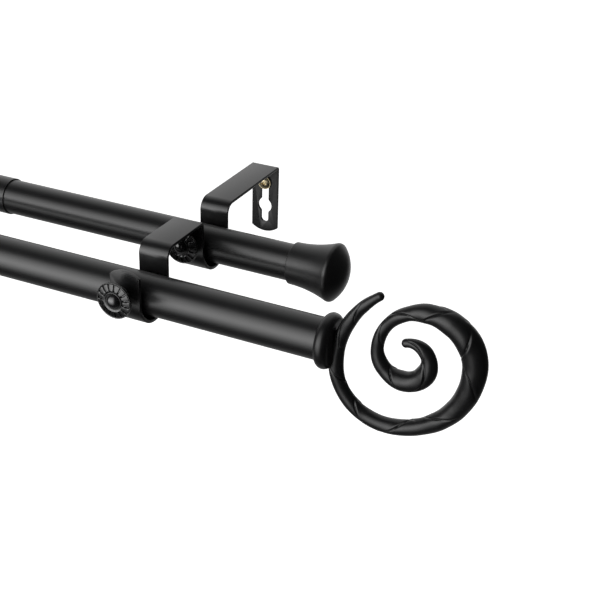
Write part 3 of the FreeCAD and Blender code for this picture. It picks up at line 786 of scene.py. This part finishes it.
def makeWorld():  # white to the camera; to the object it is dark in front and on the right, and pale behind
    world = bpy.data.worlds.new("studio")
    bpy.context.scene.world = world
    world.use_nodes = True
    tree = world.node_tree
    tree.nodes.clear()
    link = tree.links.new
    output = addNode(tree, "ShaderNodeOutputWorld")
    place = addNode(tree, "ShaderNodeTexCoord")
    split = addNode(tree, "ShaderNodeSeparateXYZ")
    link(place.outputs["Generated"], split.inputs[0])
    behind = mapped(tree, split.outputs["Y"], worldLook["behind"])
    beside = mapped(tree, split.outputs["X"], worldLook["beside"])
    seen = addNode(tree, "ShaderNodeLightPath")
    backdrop = addNode(tree, "ShaderNodeBackground", None, {"Color": white, "Strength": 1.0})
    around = addNode(tree, "ShaderNodeBackground", None, {"Color": white})
    link(worked(tree, "MULTIPLY", behind, beside), around.inputs["Strength"])
    pick = addNode(tree, "ShaderNodeMixShader")
    link(seen.outputs["Is Camera Ray"], pick.inputs["Fac"])
    link(around.outputs[0], pick.inputs[1])
    link(backdrop.outputs[0], pick.inputs[2])
    link(pick.outputs[0], output.inputs["Surface"])


def makeSheet(name, wide, tall, material):
    bm = bmesh.new()
    bmesh.ops.create_grid(bm, x_segments=1, y_segments=1, size=0.5)
    bmesh.ops.scale(bm, vec=(wide, tall, 1), verts=bm.verts)
    mesh = bpy.data.meshes.new(name)
    bm.to_mesh(mesh)
    bm.free()
    mesh.materials.append(material)
    sheet = bpy.data.objects.new(name, mesh)
    bpy.context.scene.collection.objects.link(sheet)
    return sheet


def makeFloor():  # pale; in gloss it is dark in front of the set and pale again behind it
    material, tree, shader, place = startMaterial("paleFloor")
    split = addNode(tree, "ShaderNodeSeparateXYZ")
    tree.links.new(place, split.inputs[0])
    under = mapped(tree, split.outputs["Y"], floorLook["under"])
    behind = mapped(tree, split.outputs["Y"], floorLook["behind"])
    beside = mapped(tree, split.outputs["X"], floorLook["beside"])
    seen = addNode(tree, "ShaderNodeLightPath")
    glow = worked(tree, "MULTIPLY", worked(tree, "ADD", under, behind), beside)
    gloss = worked(tree, "MULTIPLY", seen.outputs["Is Glossy Ray"], glow)
    lift = worked(tree, "MULTIPLY", seen.outputs["Is Camera Ray"], floorLook["lift"])
    tree.links.new(worked(tree, "ADD", gloss, lift), shader.inputs["Emission Strength"])
    shader.inputs["Emission Color"].default_value = white
    tone = mapped(tree, seen.outputs["Is Glossy Ray"], (0.0, 1.0, floorLook["tone"], 0.0), "LINEAR")
    tree.links.new(tone, shader.inputs["Base Color"])
    shader.inputs["Roughness"].default_value = floorLook["roughness"]
    shader.inputs["Specular IOR Level"].default_value = 0.0
    floor = makeSheet("studio_floor", floorLook["size"], floorLook["size"], material)
    floor.location.z = floorLook["height"]


def makeCloth():  # a lit cloth in front of the set, brightest in a band at its height
    material, tree, shader, place = startMaterial("litCloth")
    wide, tall, middle = clothLook["wide"], clothLook["tall"], clothLook["middle"]
    split = addNode(tree, "ShaderNodeSeparateXYZ")
    tree.links.new(place, split.inputs[0])
    above = mapped(tree, split.outputs["Y"], (middle, tall / 2, 1.0, 0.0), "LINEAR")
    below = mapped(tree, split.outputs["Y"], (-tall / 2, middle, 0.0, 1.0), "LINEAR")
    upper = worked(tree, "POWER", above, clothLook["upperFall"])
    lower = worked(tree, "POWER", below, clothLook["lowerFall"])
    aside = worked(tree, "ABSOLUTE", split.outputs["X"])
    fade = mapped(tree, aside, (wide * clothLook["fadeFrom"], wide / 2, 1.0, 0.0))
    glow = worked(tree, "MULTIPLY", worked(tree, "MULTIPLY", upper, lower), fade)
    tree.links.new(worked(tree, "MULTIPLY", glow, clothLook["tone"]), shader.inputs["Emission Strength"])
    shader.inputs["Emission Color"].default_value = white
    shader.inputs["Base Color"].default_value = (0, 0, 0, 1)
    shader.inputs["Specular IOR Level"].default_value = 0.0
    cloth = makeSheet("lit_cloth", wide, tall, material)
    cloth.location = clothLook["place"]
    cloth.rotation_euler = (math.pi / 2, 0, 0)
    cloth.visible_camera = False


makeWorld()
makeFloor()
makeCloth()
print("studio made")


# Camera at the photograph's place

cameraLook = {
    "place": (0.62618, -0.69215, 0.31752), "azimuth": 24.457, "elevation": 28.068, "roll": 1.943,
    "focalPixels": 1171.0, "imageWidth": 600, "sensor": 36.0, "clipStart": 0.02,
}


def makeCamera():
    azimuth, elevation, roll = (math.radians(cameraLook[key]) for key in ("azimuth", "elevation", "roll"))
    level = Vector((math.sin(azimuth), -math.cos(azimuth), 0))
    back = level * math.cos(elevation) + Vector((0, 0, math.sin(elevation)))
    right = Vector((math.cos(azimuth), math.sin(azimuth), 0))
    up = back.cross(right)
    rolledRight = right * math.cos(roll) + up * math.sin(roll)
    rolledUp = up * math.cos(roll) - right * math.sin(roll)
    lens = bpy.data.cameras.new("camera")
    lens.sensor_width = cameraLook["sensor"]
    lens.lens = cameraLook["focalPixels"] / cameraLook["imageWidth"] * cameraLook["sensor"]
    lens.clip_start = cameraLook["clipStart"]
    camera = bpy.data.objects.new("camera", lens)
    turn = Matrix((rolledRight, rolledUp, back)).transposed().to_4x4()
    camera.matrix_world = Matrix.Translation(cameraLook["place"]) @ turn
    bpy.context.scene.collection.objects.link(camera)
    bpy.context.scene.camera = camera


makeCamera()
bpy.context.scene.view_settings.view_transform = "Standard"
print("camera set")
